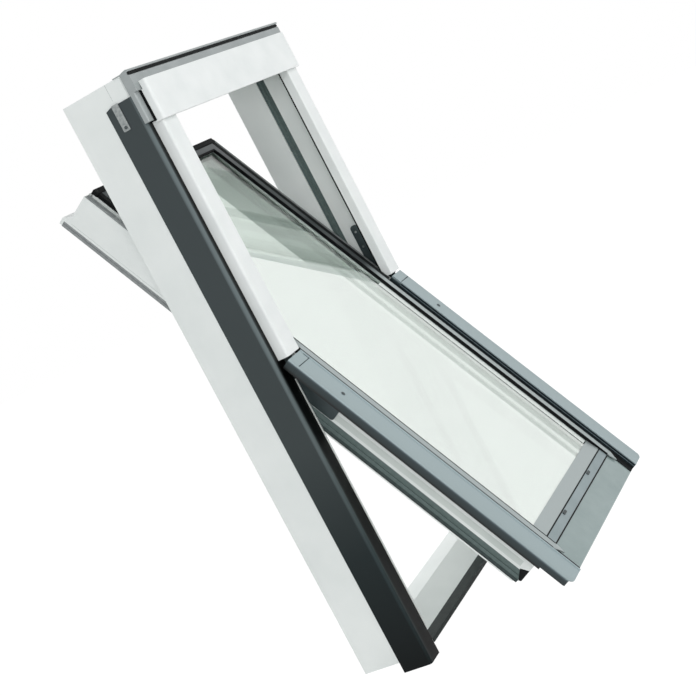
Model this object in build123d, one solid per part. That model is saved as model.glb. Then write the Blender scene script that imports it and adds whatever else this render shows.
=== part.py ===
"""Centre-pivot roof window, open on its hinges, with its frame and without the wall.

Lengths are in millimetres.  The frame stands upright in its own plane: X runs across the
window, Z runs up the slope of the roof, and -Y points out of the roof.  Three plain
directions are used below: u across from the left outer face, v up from the lower end, and
w out from the room-side face.  The sash is drawn closed and then turned open.
"""
import math
import os

from build123d import *

os.makedirs("parts", exist_ok=True)

# Frame: overall size and the sections of its four bars
frame_w = 660.0                       # overall width across the jambs
frame_l = 1180.0                      # overall length up the slope
frame_depth = 136.0                   # room face to outer face of the bars
jamb_t = 42.0                         # jamb thickness across
head_t = 69.0                         # head thickness up the slope
sill_t = 37.0                         # sill height at the room side
sill_flat = 50.0                      # level part of the sill, from the room face outwards
sill_toe = frame_depth - 24.0         # where the sloping part ends and the dark strip begins
sill_toe_h = 12.0                     # height of the sill there
sill_nose_h = 6.7                     # height of the sill at its outer face, under the strip
jamb_lip_t = 5.0                      # lip that edges the jamb beside the cladding
jamb_lip_w0 = frame_depth - 8.0       # where the lip starts
jamb_lip_rise = 3.0                   # how far the lip stands above the bar
jamb_edge = 4.5                       # chamfer of the jamb's outer corner, under the cladding
seal_groove_w0 = frame_depth - 67.0   # seal groove in the jamb
seal_groove_wide = 19.0
seal_groove_deep = 5.0
jamb_seal_proud = 4.0                 # how far the jamb seal stands out of its groove

# Sheet covers of the frame
sheet = 1.5                           # thickness of every aluminium sheet
clad_w0 = frame_depth - 59.0          # room-side edge of the side cladding
clad_over = 21.0                      # cladding beyond the sill end
clad_short = 40.0                     # cladding ends this far below the head end
clad_bend = 6.0                       # outer radius of the cladding's shoulder
upper_u0 = 21.8                       # outer side of the white side cover, from the frame's side
upper_wide = 50.5                     # width of the white side cover
upper_top = frame_depth + 24.4        # its outer surface
upper_lip_w = frame_depth + 5.8       # lower edge of its inner wall
upper_bend = 5.0                      # rounding of its outer edge
headcov_low = 100.0                   # white head cover's lower edge, below the frame's end
headcov_high = 22.0                   # its upper edge, below the frame's end
headcov_top = frame_depth + 32.0      # its outer surface
headcov_u0 = 16.5                     # its side, from the frame's outer face
headcov_side_w = frame_depth + 12.0   # lower edge of its side walls
headcov_lap = 4.0                     # side covers run this far under it

# Head flashing: a hollow bar with a rolled lip
flash_v0 = frame_l - 37.0             # lower edge of the flashing on the head
flash_bevel = 15.0                    # slope along that edge
flash_band = frame_depth + 18.5       # outer surface of its flat band
flash_over = 3.0                      # end plates beyond the jambs' outer faces
flash_lip_w = flash_band + 1.5        # outermost point of the lip
flash_lip_v = 4.5                     # lip above the end of the frame
flash_hook = 11.0                     # room side of the lip, from the bars' outer face
flash_back = 16.0                     # sheet that laps onto the head's end face
flash_end_t = 2.0                     # thickness of the end plates
flash_arm_v0 = frame_l - 94.0         # lower end of the arm beside the head cover
flash_arm_u = 14.0                    # inner side of the arm

# Small bracket that holds the cladding, and its screw
clip_w0 = frame_depth - 44.0
clip_wide = 15.0
clip_tall = 51.0
clip_v1 = frame_l - clad_short + sheet
clip_v0 = clip_v1 - clip_tall
clip_screw_up = 6.5                   # screw above the bracket's lower end
screw_r = 3.0
screw_head = 1.6

# Pivot: the arc hinges turn about a line in the surface of the covers
pivot_up = 4.0                        # pivot line above the middle of the frame
pivot_v = frame_l / 2 + pivot_up
pivot_w = upper_top
rest_open = 27.36                     # opening angle at rest, in degrees
arc_r = 26.0                          # middle radius of the arc groove
arc_half = 4.3                        # half the groove's width
arc_gap = 0.3                         # room between the shoe and the groove
arc_rim = 4.0                         # metal outside the groove
arc_floor = 1.5                       # metal under the groove
hinge_plate_t = 4.5                   # thickness of the fixed half
hinge_top_gap = 3.0                   # fixed half ends this far under the pivot line
hinge_relief_r = 9.0                  # round relief beside the pivot line
hinge_tail = 136.0                    # fixed half's foot above the pivot line
hinge_foot_w0 = frame_depth - 26.0    # foot of the fixed half, towards the room
hinge_foot_w1 = frame_depth - 9.0     # and towards the outside
hinge_foot_r = 7.5                    # rounding of its upper end
shoe_from = 5.0                       # shoe's place on the arc, in degrees, sash closed
shoe_to = 25.0
sash_hinge_t = 2.5                    # thickness of the moving half
sash_hinge_s0 = pivot_v - 121.0
sash_hinge_s1 = pivot_v + 46.0
hinge_screw_r = 2.5
hinge_screw_head = 0.8
upper_v0 = pivot_v + 10.0             # lower end of the white side covers

# Sash: overall size, measured closed
sash_gap = 8.0                        # jamb's inner face to the stile's outer face
sash_back = frame_depth - 66.0        # room side of the sash, from the frame's room face
sash_top_end = frame_l - 73.0         # upper end of the sash, at its room side
sash_low_end = 27.0                   # lower end of the sash
sash_wall_top = sash_back + 77.0      # outer surface of the stile's outer wall
stile_wall_t = 16.0                   # that wall's thickness
slot_t = 7.5                          # slot beside it, for the white cover's inner wall
slot_floor = sash_wall_top - 9.0
rib_t = 2.5                           # PVC rib between slot and glass
rib_top = sash_wall_top + 2.3
rebate = sash_wall_top - 18.0         # level that the glass lies on
lip_t = 5.0                           # thickness of the PVC lip under the glass
lip_lean = 6.0                        # how far the room-side face leans
stile_t = 56.0                        # stile, outer face to sight line
top_t = 51.0                          # top rail, end to sight line
low_t = 44.0                          # bottom rail, end to sight line
top_flange = 14.0                     # thickness of the top rail's flange
top_step = 15.0                       # flange beyond the rail's body
top_lap = 1.0                         # outer body stands back this much more
low_chamfer_s = 14.5                  # chamfer of the sash's lower end, up the slope
low_chamfer_w = 12.0                  # and outwards
top_body = sash_top_end - top_step - top_lap
sash_hinge_z0 = sash_back + 31.0
sash_hinge_z1 = sash_wall_top - 7.0

# Side seals of the stiles
low_seal_z0 = sash_back + 9.0
low_seal_z1 = sash_back + 29.0
low_seal_deep = 6.0
low_seal_back = 1.0                   # dark seal lies this far inside the stile's face
high_seal_z0 = sash_back - 1.0
high_seal_z1 = sash_back + 10.0
high_seal_deep = 4.0
seal_break = 40.0                     # seals change over this far from the pivot line
seal_end = 6.0                        # seals stop this far from the sash's ends

# Glass
pane_t = 4.0
cavity = 12.0
glass_edge = 32.0                     # stile's outer face to the glass edge
glass_low = 24.0                      # sash's lower end to the glass edge
glass_top = 28.0                      # sash's upper end to the glass edge
edge_seal_t = 6.0
spacer_t = 7.0
glass_out = rebate + 2 * pane_t + cavity

# Glazing beads, weather rib and the rubber line inside the beads
bead_foot = glass_out + 0.3           # underside of the beads
bead_top = bead_foot + 7.5            # flat outer surface of the side beads
bead_side = 38.4                      # stile's outer face to the bead's outer side
bead_inset = 1.0                      # bead's inner edge to the sight line
bead_end = 7.6                        # side beads and strip beyond the sash's lower end
bead_top_wide = 14.0                  # width of the top bead
bead_low_out = bead_foot + 4.7        # bottom bead's outer side
bead_low_in = bead_foot + 2.0         # bottom bead's inner edge
wrib_gap = 0.3                        # weather rib to the beads
wrib_h = 2.0                          # height of the weather rib beside the beads
wrib_side_in = 1.2                    # its high part beside the beads is this much narrower
wrib_from = 8.0                       # and starts this far above the pivot line
wrib_top_t = 12.0                     # weather rib at the top
wrib_top = bead_foot + 8.6            # and its outer surface there
glaze_seal_t = 1.8                    # rubber line inside the beads
glaze_seal_h = 7.0
cap_seal_in = 1.5                     # seal on the stile's outer wall, in from its edges
cap_seal_h = 2.0

# Grey covers of the lower half, in line with the white ones when closed
cover_u0 = upper_u0 - 3.8
cover_wide = 55.7
cover_top = pivot_w + 0.4
cover_rise = 1.0                      # top surface rises this much towards the glass
cover_ridge = 2.8                     # ridge along the inner side of the top
cover_ridge_t = 1.7
cover_low = sash_wall_top - 6.0       # lower edge of the outer side
cover_step_s = 20.0                   # that edge is higher below this level
cover_step_h = 4.5
cover_in_low = sash_wall_top + 3.0    # lower edge of the inner side
cover_bend = 3.0
cover_s1 = pivot_v - 17.0             # upper end of the sheet, where the plastic end begins
cover_end_s = pivot_v + 5.4           # upper end of the plastic end
cover_s0 = sash_low_end - 68.7        # lower end
cover_corner = 15.0                   # rounding of the lower outer corner in plan
cover_screw_s = pivot_v - 108.0
cover_screw_u = cover_u0 + 27.0
cover_rest_s = (sash_low_end - 7.0, frame_l / 4 - 45.0, cover_screw_s)
cover_rest_len = 24.0
cover_rest_u = cover_u0 + 22.0

# Bottom apron, clamp strip and clips
apron_top = sash_wall_top + 5.2
apron_s1 = sash_low_end - 0.5
apron_u = cover_u0 + cover_wide + 0.8
apron_lip = 8.0
strip_s1 = sash_low_end + 11.6
strip_gap = 0.8                       # dark joint between the strip and the bottom bead
strip_top = apron_top + 1.8
strip_lap = 0.2                       # strip's lip over the apron
clip_len = 16.0
clip_across = 200.0                   # between the two small clips
clip_height = 1.6

# Handle bar and latch
handle_len = 400.0
handle_s = sash_top_end - 29.0        # its pins, up the slope
handle_off = 12.0                     # its pins to the sash's room side
handle_w = sash_back - handle_off
handle_wide = 38.0                    # bar below the pins
handle_t = 5.0
handle_rise = 8.0                     # bar above the pins
handle_drop = 13.0                    # pins to the bar's room side
handle_pin_r = 3.0
handle_pin_gap = 0.3
handle_ear_t = 5.0
handle_ear_r = 6.0
handle_ear_gap = 0.5
handle_ear_in = 30.0                  # bar's end to the middle of its ear
cheek_t = 3.0
latch_wide = 14.0
latch_thick = 8.0
latch_z = sash_back + 23.0            # middle of the bolt, from the frame's room face
latch_s0 = sash_top_end - 37.0
latch_reach = 12.0                    # bolt beyond the sash's end
latch_travel = 13.0
latch_gap = 0.3
striker_wide = 28.0
striker_len = 60.0
striker_t = 2.0
striker_room = 3.0                    # room round the bolt in the striker

# Holes for the fixing brackets, in the head's end face and under the sill
fix_hole_r = 2.5
fix_hole_deep = 25.0
fix_spacing = 440.0
fix_hole_w = 40.0

# Values that follow from the ones above
row_w = fix_hole_w         # the origin lies midway between the sill's fixing holes
sash_u0 = jamb_t + sash_gap
sash_u1 = frame_w - sash_u0
sight_u = sash_u0 + stile_t
sight_low = sash_low_end + low_t
sight_top = sash_top_end - top_t
rib_u = sash_u0 + stile_wall_t + slot_t
clad_top = frame_depth + sheet
hinge_u = jamb_t + hinge_plate_t
hinge_tail_v = pivot_v + hinge_tail
upper_u1 = upper_u0 + upper_wide
headcov_v0 = frame_l - headcov_low
headcov_v1 = frame_l - headcov_high
cover_u1 = cover_u0 + cover_wide
bead_u = sash_u0 + bead_side
bead_in_u = sash_u0 + stile_t - bead_inset
bead_s0 = sash_low_end - bead_end


def section(points, rounds=()):
    """A flat outline from its corner points, with the listed corners rounded."""
    outline = make_face(Polyline(*points, close=True))
    for index, radius in rounds:
        spot = (points[index][0], points[index][1], 0)
        corner = outline.vertices().sort_by_distance(spot)[0]
        outline = fillet(corner, radius)
    return outline


def run_up(points, v0, v1, rounds=()):
    """Carry an outline, given as (u, w) points, up the slope from v0 to v1."""
    flat = section([(u - frame_w / 2, row_w - w) for u, w in points], rounds)
    return extrude(Plane.XY.offset(v0) * flat, amount=v1 - v0, dir=(0, 0, 1))


def run_across(points, u0, u1, rounds=()):
    """Carry an outline, given as (w, v) points, across the window from u0 to u1."""
    flat = section([(row_w - w, v) for w, v in points], rounds)
    return extrude(Plane.YZ.offset(u0 - frame_w / 2) * flat, amount=u1 - u0, dir=(1, 0, 0))


def run_out(points, w0, w1, rounds=()):
    """Carry an outline, given as (u, v) points, outwards from w0 to w1."""
    flat = section([(u - frame_w / 2, v) for u, v in points], rounds)
    return extrude(Plane.XZ.offset(w0 - row_w) * flat, amount=w1 - w0, dir=(0, -1, 0))


def block(u0, u1, v0, v1, w0, w1):
    """A block between two levels in each direction."""
    return run_out([(u0, v0), (u1, v0), (u1, v1), (u0, v1)], w0, w1)


def rod(u, v, w, radius, length, direction):
    """A round bar that starts at a point and runs along a direction."""
    spot = Plane(origin=(u - frame_w / 2, row_w - w, v), z_dir=direction)
    return extrude(spot * Circle(radius), amount=length, dir=direction)


def mirrored(shape):
    """The same shape on the other side of the window."""
    return mirror(shape, about=Plane.YZ)


def between_corners(outer_a, inner_a, inner_b, outer_b):
    """The room that a bar fills between two mitred corners, seen from outside."""
    reach = 1.5
    far_a = tuple(o + reach * (i - o) for o, i in zip(outer_a, inner_a))
    far_b = tuple(o + reach * (i - o) for o, i in zip(outer_b, inner_b))
    return run_out([outer_a, far_a, far_b, outer_b], -20, 2 * frame_depth)


def four_bars(side, low, top, u_out, u_in, ends, sights):
    """Mitre a left bar, its mirror image, a lower bar and an upper bar to each other."""
    low_out, top_out = ends
    low_in, top_in = sights
    bl, br = (u_out, low_out), (frame_w - u_out, low_out)
    tl, tr = (u_out, top_out), (frame_w - u_out, top_out)
    ibl, ibr = (u_in, low_in), (frame_w - u_in, low_in)
    itl, itr = (u_in, top_in), (frame_w - u_in, top_in)
    left = side & between_corners(bl, ibl, itl, tl)
    lower = low & between_corners(bl, ibl, ibr, br)
    upper = top & between_corners(tl, itl, itr, tr)
    return left, mirrored(left), lower, upper


nodes = {}


# Frame bars
def frame_bars():
    groove_w1 = seal_groove_w0 + seal_groove_wide
    lip_u = jamb_t + jamb_lip_t
    jamb = run_up(
        [
            (0, 0), (jamb_t, 0), (jamb_t, seal_groove_w0),
            (jamb_t - seal_groove_deep, seal_groove_w0), (jamb_t - seal_groove_deep, groove_w1),
            (jamb_t, groove_w1), (jamb_t, jamb_lip_w0), (lip_u, jamb_lip_w0),
            (lip_u, frame_depth + jamb_lip_rise), (jamb_t + sheet, frame_depth + jamb_lip_rise),
            (jamb_t + sheet, frame_depth), (jamb_edge, frame_depth), (0, frame_depth - jamb_edge),
        ],
        0, frame_l,
    )
    sill = run_across(
        [
            (0, 0), (0, sill_t), (sill_flat, sill_t), (sill_toe, sill_toe_h),
            (sill_toe, sill_toe_h - sheet), (frame_depth, sill_nose_h), (frame_depth, 0),
        ],
        0, frame_w,
    )
    head = run_across(
        [(0, frame_l), (0, frame_l - head_t), (frame_depth, frame_l - head_t), (frame_depth, frame_l)],
        0, frame_w,
    )
    ends = (0, frame_l)
    inner = (sill_t, frame_l - head_t)
    left, right, sill, head = four_bars(jamb, sill, head, 0, jamb_t, ends, inner)
    left -= hinge_notch()
    right -= mirrored(hinge_notch())
    head -= latch_pocket()
    edge = jamb_edge
    corner = run_up([(0, frame_depth), (edge, frame_depth), (0, frame_depth - edge)], -1, sill_t)
    sill = sill - corner - mirrored(corner)
    for side in (-1, 1):
        u = frame_w / 2 + side * fix_spacing / 2
        head -= rod(u, frame_l, fix_hole_w, fix_hole_r, fix_hole_deep, (0, 0, -1))
        sill -= rod(u, 0, fix_hole_w, fix_hole_r, fix_hole_deep, (0, 0, 1))
    nodes["left_jamb"] = left
    nodes["right_jamb"] = right
    nodes["sill"] = sill
    nodes["head"] = head


def hinge_notch():
    """The gap in the jamb's lip and the cladding's edge that the fixed hinge half fills."""
    reach = arc_r + arc_half + arc_rim + 1.0
    return block(
        jamb_t, jamb_t + 2 * jamb_lip_t, pivot_v - reach, pivot_v + reach,
        jamb_lip_w0 - 1.0, frame_depth + 2 * jamb_lip_rise,
    )


def latch_pocket():
    """The pocket in the head that the bolt and its striker plate lie in."""
    mid = frame_w / 2
    inner = frame_l - head_t
    half_u = latch_wide / 2 + striker_room
    half_w = latch_thick / 2 + striker_room
    deep = latch_reach + striker_room
    pocket = block(mid - half_u, mid + half_u, inner - 1, inner + deep, latch_z - half_w, latch_z + half_w)
    seat = block(
        mid - striker_len / 2, mid + striker_len / 2, inner - 1, inner + striker_t,
        latch_z - striker_wide / 2, latch_z + striker_wide / 2,
    )
    return pocket + seat


# Covers and claddings of the frame
def side_cladding():
    path = [
        (-sheet, clad_w0), (-sheet, clad_top), (jamb_t + sheet, clad_top),
        (jamb_t + sheet, frame_depth), (0, frame_depth), (0, clad_w0),
    ]
    bends = ((1, clad_bend), (4, clad_bend - sheet))
    clad = run_up(path, -clad_over, frame_l - clad_short, bends)
    trim = 4.0
    nick = run_across(
        [(clad_w0 - 1, frame_l - clad_short - trim), (clad_w0 + 3 * trim, frame_l - clad_short),
         (clad_w0 + 3 * trim, frame_l), (clad_w0 - 1, frame_l)],
        -10, 5,
    )
    clad = clad - nick - hinge_notch_clad()
    nodes["left_cladding"] = clad
    nodes["right_cladding"] = mirrored(clad)


def hinge_notch_clad():
    reach = arc_r + arc_half + arc_rim + 1.0
    return block(
        jamb_t - 0.3, jamb_t + 2 * jamb_lip_t, pivot_v - reach, pivot_v + reach,
        frame_depth - 1.0, frame_depth + 2 * jamb_lip_rise,
    )


def sill_strip():
    strip = run_across(
        [
            (sill_toe, sill_toe_h - sheet), (sill_toe, sill_toe_h),
            (frame_depth + sheet, sill_nose_h + sheet), (frame_depth + sheet, 0),
            (frame_depth, 0), (frame_depth, sill_nose_h),
        ],
        jamb_t + jamb_lip_t, frame_w - jamb_t - jamb_lip_t,
    )
    nodes["sill_strip"] = strip


def flashing_outline():
    """The outer and inner outlines of the hollow head flashing, as (w, v) points."""
    back = frame_depth
    end = frame_l
    outer = [
        (back, flash_v0), (flash_band - sheet, flash_v0), (flash_band, flash_v0 + flash_bevel),
        (flash_band, end - 7), (flash_band - 3, end - 5), (flash_band - 3, end - 1),
        (flash_lip_w, end), (flash_lip_w, end + 3), (flash_lip_w - 4, end + flash_lip_v),
        (back + flash_hook, end + flash_lip_v - 0.5), (back + 2, end + sheet),
        (back - flash_back, end + sheet), (back - flash_back, end), (back, end),
    ]
    inner = [
        (back + sheet, flash_v0 + sheet), (flash_band - 2 * sheet, flash_v0 + sheet),
        (flash_band - sheet, flash_v0 + flash_bevel), (flash_band - sheet, end - 8),
        (flash_band - 3 - sheet, end - 6), (flash_band - 3 - sheet, end + 1),
        (back + flash_hook, end + 2.2), (back + sheet, end - sheet),
    ]
    return outer, inner


def head_flashing():
    outer, inner = flashing_outline()
    u0 = flash_end_t - flash_over
    bar = run_across(outer, u0, frame_w - u0, ((8, 2.0),)) - run_across(inner, u0 - 1, frame_w - u0 + 1)
    nodes["head_flashing"] = bar
    end = frame_l
    seal = run_across(
        [(flash_band - 3, end - 1), (flash_band - 3, end - 5), (flash_band - 0.5, end - 5.5),
         (flash_band + 0.3, end - 3), (flash_band - 0.5, end - 1)],
        u0, frame_w - u0,
    )
    nodes["flashing_seal"] = seal
    plate = run_across(outer, -flash_over, u0, ((8, 2.0),))
    arm = run_up(
        [(-flash_over, clad_top), (-flash_over, headcov_side_w), (flash_arm_u, headcov_side_w),
         (flash_arm_u, clad_top)],
        flash_arm_v0, flash_v0, ((1, 3.0), (2, 1.5)),
    )
    end = plate + arm
    nodes["flashing_end_left"] = end
    nodes["flashing_end_right"] = mirrored(end)


def head_cover():
    u0, u1 = headcov_u0, frame_w - headcov_u0
    v0, v1 = headcov_v0, headcov_v1
    shell = block(u0, u1, v0, v1, headcov_side_w, headcov_top)
    edges = shell.edges().filter_by(Axis.Z).group_by(Axis.Y)[0]
    shell = fillet(edges, upper_bend)
    shell -= block(u0 + sheet, u1 - sheet, v0 + sheet, v1 - sheet, headcov_side_w - 1, headcov_top - sheet)
    shell -= block(u0 + sheet, u1 - sheet, v0 - 1, v0 + 2 * sheet, headcov_side_w - 1, upper_top + 0.3)
    shell -= block(u0 - 1, u1 + 1, flash_v0, v1 + 1, headcov_side_w - 1, flash_band)
    nodes["head_cover"] = shell


def upper_side_covers():
    u0, u1 = upper_u0, upper_u1
    points = [
        (u0, clad_top), (u0, upper_top), (u1, upper_top), (u1, upper_lip_w),
        (u1 - sheet, upper_lip_w), (u1 - sheet, upper_top - sheet),
        (u0 + sheet, upper_top - sheet), (u0 + sheet, clad_top),
    ]
    rounds = ((1, upper_bend), (2, 2.0), (5, 0.5), (6, upper_bend - sheet))
    cover = run_up(points, upper_v0, headcov_v0 + headcov_lap, rounds)
    nodes["upper_cover_left"] = cover
    nodes["upper_cover_right"] = mirrored(cover)


def cladding_brackets():
    side = -sheet
    plate = block(side - sheet, side, clip_v0, clip_v1, clip_w0, clip_w0 + clip_wide)
    plate = fillet(plate.edges().filter_by(Axis.X), 1.5)
    nodes["cladding_bracket_left"] = plate
    nodes["cladding_bracket_right"] = mirrored(plate)
    mid_w = clip_w0 + clip_wide / 2
    head = rod(side - sheet - screw_head, clip_v0 + clip_screw_up, mid_w, screw_r, screw_head, (1, 0, 0))
    head = fillet(head.edges().group_by(Axis.X)[0], 0.8)
    nodes["bracket_screws"] = Compound([head, mirrored(head)])


def jamb_seals():
    gap = 0.0
    u0 = jamb_t - seal_groove_deep
    w0 = seal_groove_w0 + gap
    w1 = seal_groove_w0 + seal_groove_wide - gap
    mid = (w0 + w1) / 2
    seal = run_up(
        [(u0, w0), (u0, w1), (u0 + 2.5, w1), (u0 + 2.5, mid + 4), (jamb_t + jamb_seal_proud, mid + 2),
         (jamb_t + jamb_seal_proud, mid), (u0 + 2.5, mid - 4), (u0 + 2.5, w0)],
        sill_t + seal_groove_deep, frame_l - head_t - seal_groove_deep,
    )
    nodes["jamb_seal_left"] = seal
    nodes["jamb_seal_right"] = mirrored(seal)


# Arc hinges
def arc_point(radius, degrees):
    """A point on a circle round the pivot line, as (w, v); 0 points up the slope."""
    angle = math.radians(degrees)
    return pivot_w - radius * math.sin(angle), pivot_v + radius * math.cos(angle)


def ring_part(r0, r1, u0, u1):
    """A full ring round the pivot line between two radii."""
    axis = (1, 0, 0)
    ring = rod(u0, pivot_v, pivot_w, r1, u1 - u0, axis)
    return ring - rod(u0 - 1, pivot_v, pivot_w, r0, u1 - u0 + 2, axis)


def fixed_hinge():
    outer_r = arc_r + arc_half + arc_rim
    top = pivot_w - hinge_top_gap
    disc = rod(jamb_t, pivot_v, pivot_w, outer_r, hinge_plate_t, (1, 0, 0))
    disc &= block(jamb_t - 1, hinge_u + 1, pivot_v - 2 * outer_r, pivot_v + 2 * outer_r, 0, top)
    foot = block(jamb_t, hinge_u, pivot_v, hinge_tail_v, hinge_foot_w0, hinge_foot_w1)
    foot = fillet(foot.edges().filter_by(Axis.X).group_by(Axis.Z)[-1], hinge_foot_r)
    plate = disc + foot
    plate -= ring_part(arc_r - arc_half, arc_r + arc_half, jamb_t + arc_floor, hinge_u + 1)
    plate -= rod(jamb_t - 1, pivot_v, pivot_w, hinge_relief_r, hinge_plate_t + 2, (1, 0, 0))
    heads = []
    for v in (hinge_tail_v - 15, hinge_tail_v - 50, pivot_v):
        w = (hinge_foot_w0 + hinge_foot_w1) / 2 if v > pivot_v else pivot_w - arc_r / 2
        heads.append(rod(hinge_u, v, w, hinge_screw_r, hinge_screw_head, (1, 0, 0)))
    nodes["frame_hinge_left"] = plate
    nodes["frame_hinge_right"] = mirrored(plate)
    nodes["frame_hinge_screws"] = Compound(heads + [mirrored(h) for h in heads])


def moving_hinge():
    """The plate on the stile, drawn closed, with the shoe that rides in the arc groove."""
    face = sash_u0
    plate = block(face - sash_hinge_t, face, sash_hinge_s0, sash_hinge_s1, sash_hinge_z0, sash_hinge_z1)
    plate = fillet(plate.edges().filter_by(Axis.X), 6.0)
    shoe_u = jamb_t + arc_floor + arc_gap
    shoe = ring_part(arc_r - arc_half + arc_gap, arc_r + arc_half - arc_gap, shoe_u, face)
    far = 3 * arc_r
    wedge = run_across(
        [(pivot_w, pivot_v), arc_point(far, shoe_from), arc_point(far, shoe_to)], 0, frame_w / 2,
    )
    neck_w0 = sash_hinge_z1 - 10
    neck_v0 = pivot_v + arc_r - arc_half - 6
    neck = block(face - sash_hinge_t, face, neck_v0, pivot_v + arc_r + arc_half, neck_w0, pivot_w - 5)
    return plate + (shoe & wedge) + neck


# Sash, drawn closed
def sash_bars():
    u0 = sash_u0
    wall = u0 + stile_wall_t
    slot = wall + slot_t
    stile = run_up(
        [
            (u0, sash_back), (u0, sash_wall_top), (wall, sash_wall_top), (wall, slot_floor),
            (slot, slot_floor), (slot, rib_top), (slot + rib_t, rib_top), (slot + rib_t, rebate),
            (sight_u, rebate), (sight_u, rebate - lip_t), (sight_u - lip_lean, sash_back),
        ],
        sash_low_end, sash_top_end,
    )
    end = sash_top_end
    rib_s = top_body - rib_t - 1.0
    top = run_across(
        [
            (sash_back, end), (sash_back + top_flange, end), (sash_back + 2 * top_flange, end - top_step),
            (rib_top, top_body), (rib_top, rib_s), (rebate, rib_s), (rebate, sight_top),
            (rebate - lip_t, sight_top), (sash_back, sight_top + lip_lean),
        ],
        u0, sash_u1,
    )
    low_end = sash_low_end
    rib_s = strip_s1 + rib_t
    low = run_across(
        [
            (sash_back, low_end + low_chamfer_s), (sash_back + low_chamfer_w, low_end),
            (sash_wall_top, low_end), (sash_wall_top, strip_s1), (rib_top, strip_s1), (rib_top, rib_s),
            (rebate, rib_s), (rebate, sight_low), (rebate - lip_t, sight_low),
            (sash_back, sight_low - lip_lean),
        ],
        u0, sash_u1,
    )
    ends = (sash_low_end, sash_top_end)
    sights = (sight_low, sight_top)
    left, right, low, top = four_bars(stile, low, top, u0, sight_u, ends, sights)
    envelope = run_across(
        [
            (sash_back, low_end + low_chamfer_s), (sash_back + low_chamfer_w, low_end),
            (rib_top, low_end), (rib_top, top_body), (sash_back + 2 * top_flange, end - top_step),
            (sash_back + top_flange, end), (sash_back, end),
        ],
        0, frame_w,
    )
    left = (left & envelope) - seal_grooves()
    nodes["left_stile"] = left
    nodes["right_stile"] = mirrored(left)
    nodes["bottom_rail"] = low
    mid = frame_w / 2
    pocket = block(
        mid - latch_wide / 2 - latch_gap, mid + latch_wide / 2 + latch_gap,
        latch_s0 - latch_travel - latch_gap, end + 1,
        latch_z - latch_thick / 2 - latch_gap, latch_z + latch_thick / 2 + latch_gap,
    )
    nodes["top_rail"] = top - pocket


def seal_grooves():
    u = sash_u0
    s0, s1 = sash_low_end + seal_end, sash_top_end - seal_end
    low = block(u - 1, u + low_seal_deep, s0, pivot_v - seal_break, low_seal_z0, low_seal_z1)
    high = block(u - 1, u + high_seal_deep, pivot_v + seal_break, s1, high_seal_z0, high_seal_z1)
    return low + high


def side_seals():
    u = sash_u0
    s0, s1 = sash_low_end + seal_end, sash_top_end - seal_end
    low = block(u + low_seal_back, u + low_seal_deep, s0, pivot_v - seal_break, low_seal_z0, low_seal_z1)
    low -= block(u, u + low_seal_back + 1.5, 0, frame_l, low_seal_z0 + 8, low_seal_z0 + 11)
    z0, z1 = sash_back - 1.0, high_seal_z1
    high = run_up(
        [(u + high_seal_deep, sash_back), (u + high_seal_deep, z1), (u, z1), (u, z1 - 4), (u + 1.5, z1 - 5),
         (u, z1 - 6), (u, z0)],
        pivot_v + seal_break, s1,
    )
    for name, seal in (("low_seal", low), ("high_seal", high)):
        nodes[name + "_left"] = seal
        nodes[name + "_right"] = mirrored(seal)


def glass_box(inset):
    """Left, right, lower and upper limits of the glass unit, drawn in by an inset."""
    u0 = sash_u0 + glass_edge + inset
    return u0, frame_w - u0, sash_low_end + glass_low + inset, sash_top_end - glass_top - inset


def loop(outer, inner, w0, w1):
    """A closed frame between two rectangles."""
    o, i = outer, inner
    solid = block(o[0], o[1], o[2], o[3], w0, w1)
    return solid - block(i[0], i[1], i[2], i[3], w0 - 1, w1 + 1)


def glass_unit():
    edge = glass_box(0)
    w0 = rebate
    w1 = w0 + pane_t
    w2 = w1 + cavity
    nodes["inner_pane"] = block(*edge, w0, w1)
    nodes["outer_pane"] = block(*edge, w2, w2 + pane_t)
    seal = glass_box(edge_seal_t)
    bar = glass_box(edge_seal_t + spacer_t)
    nodes["edge_seal"] = loop(edge, seal, w1, w2)
    nodes["spacer_bar"] = loop(seal, bar, w1, w2)


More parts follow.
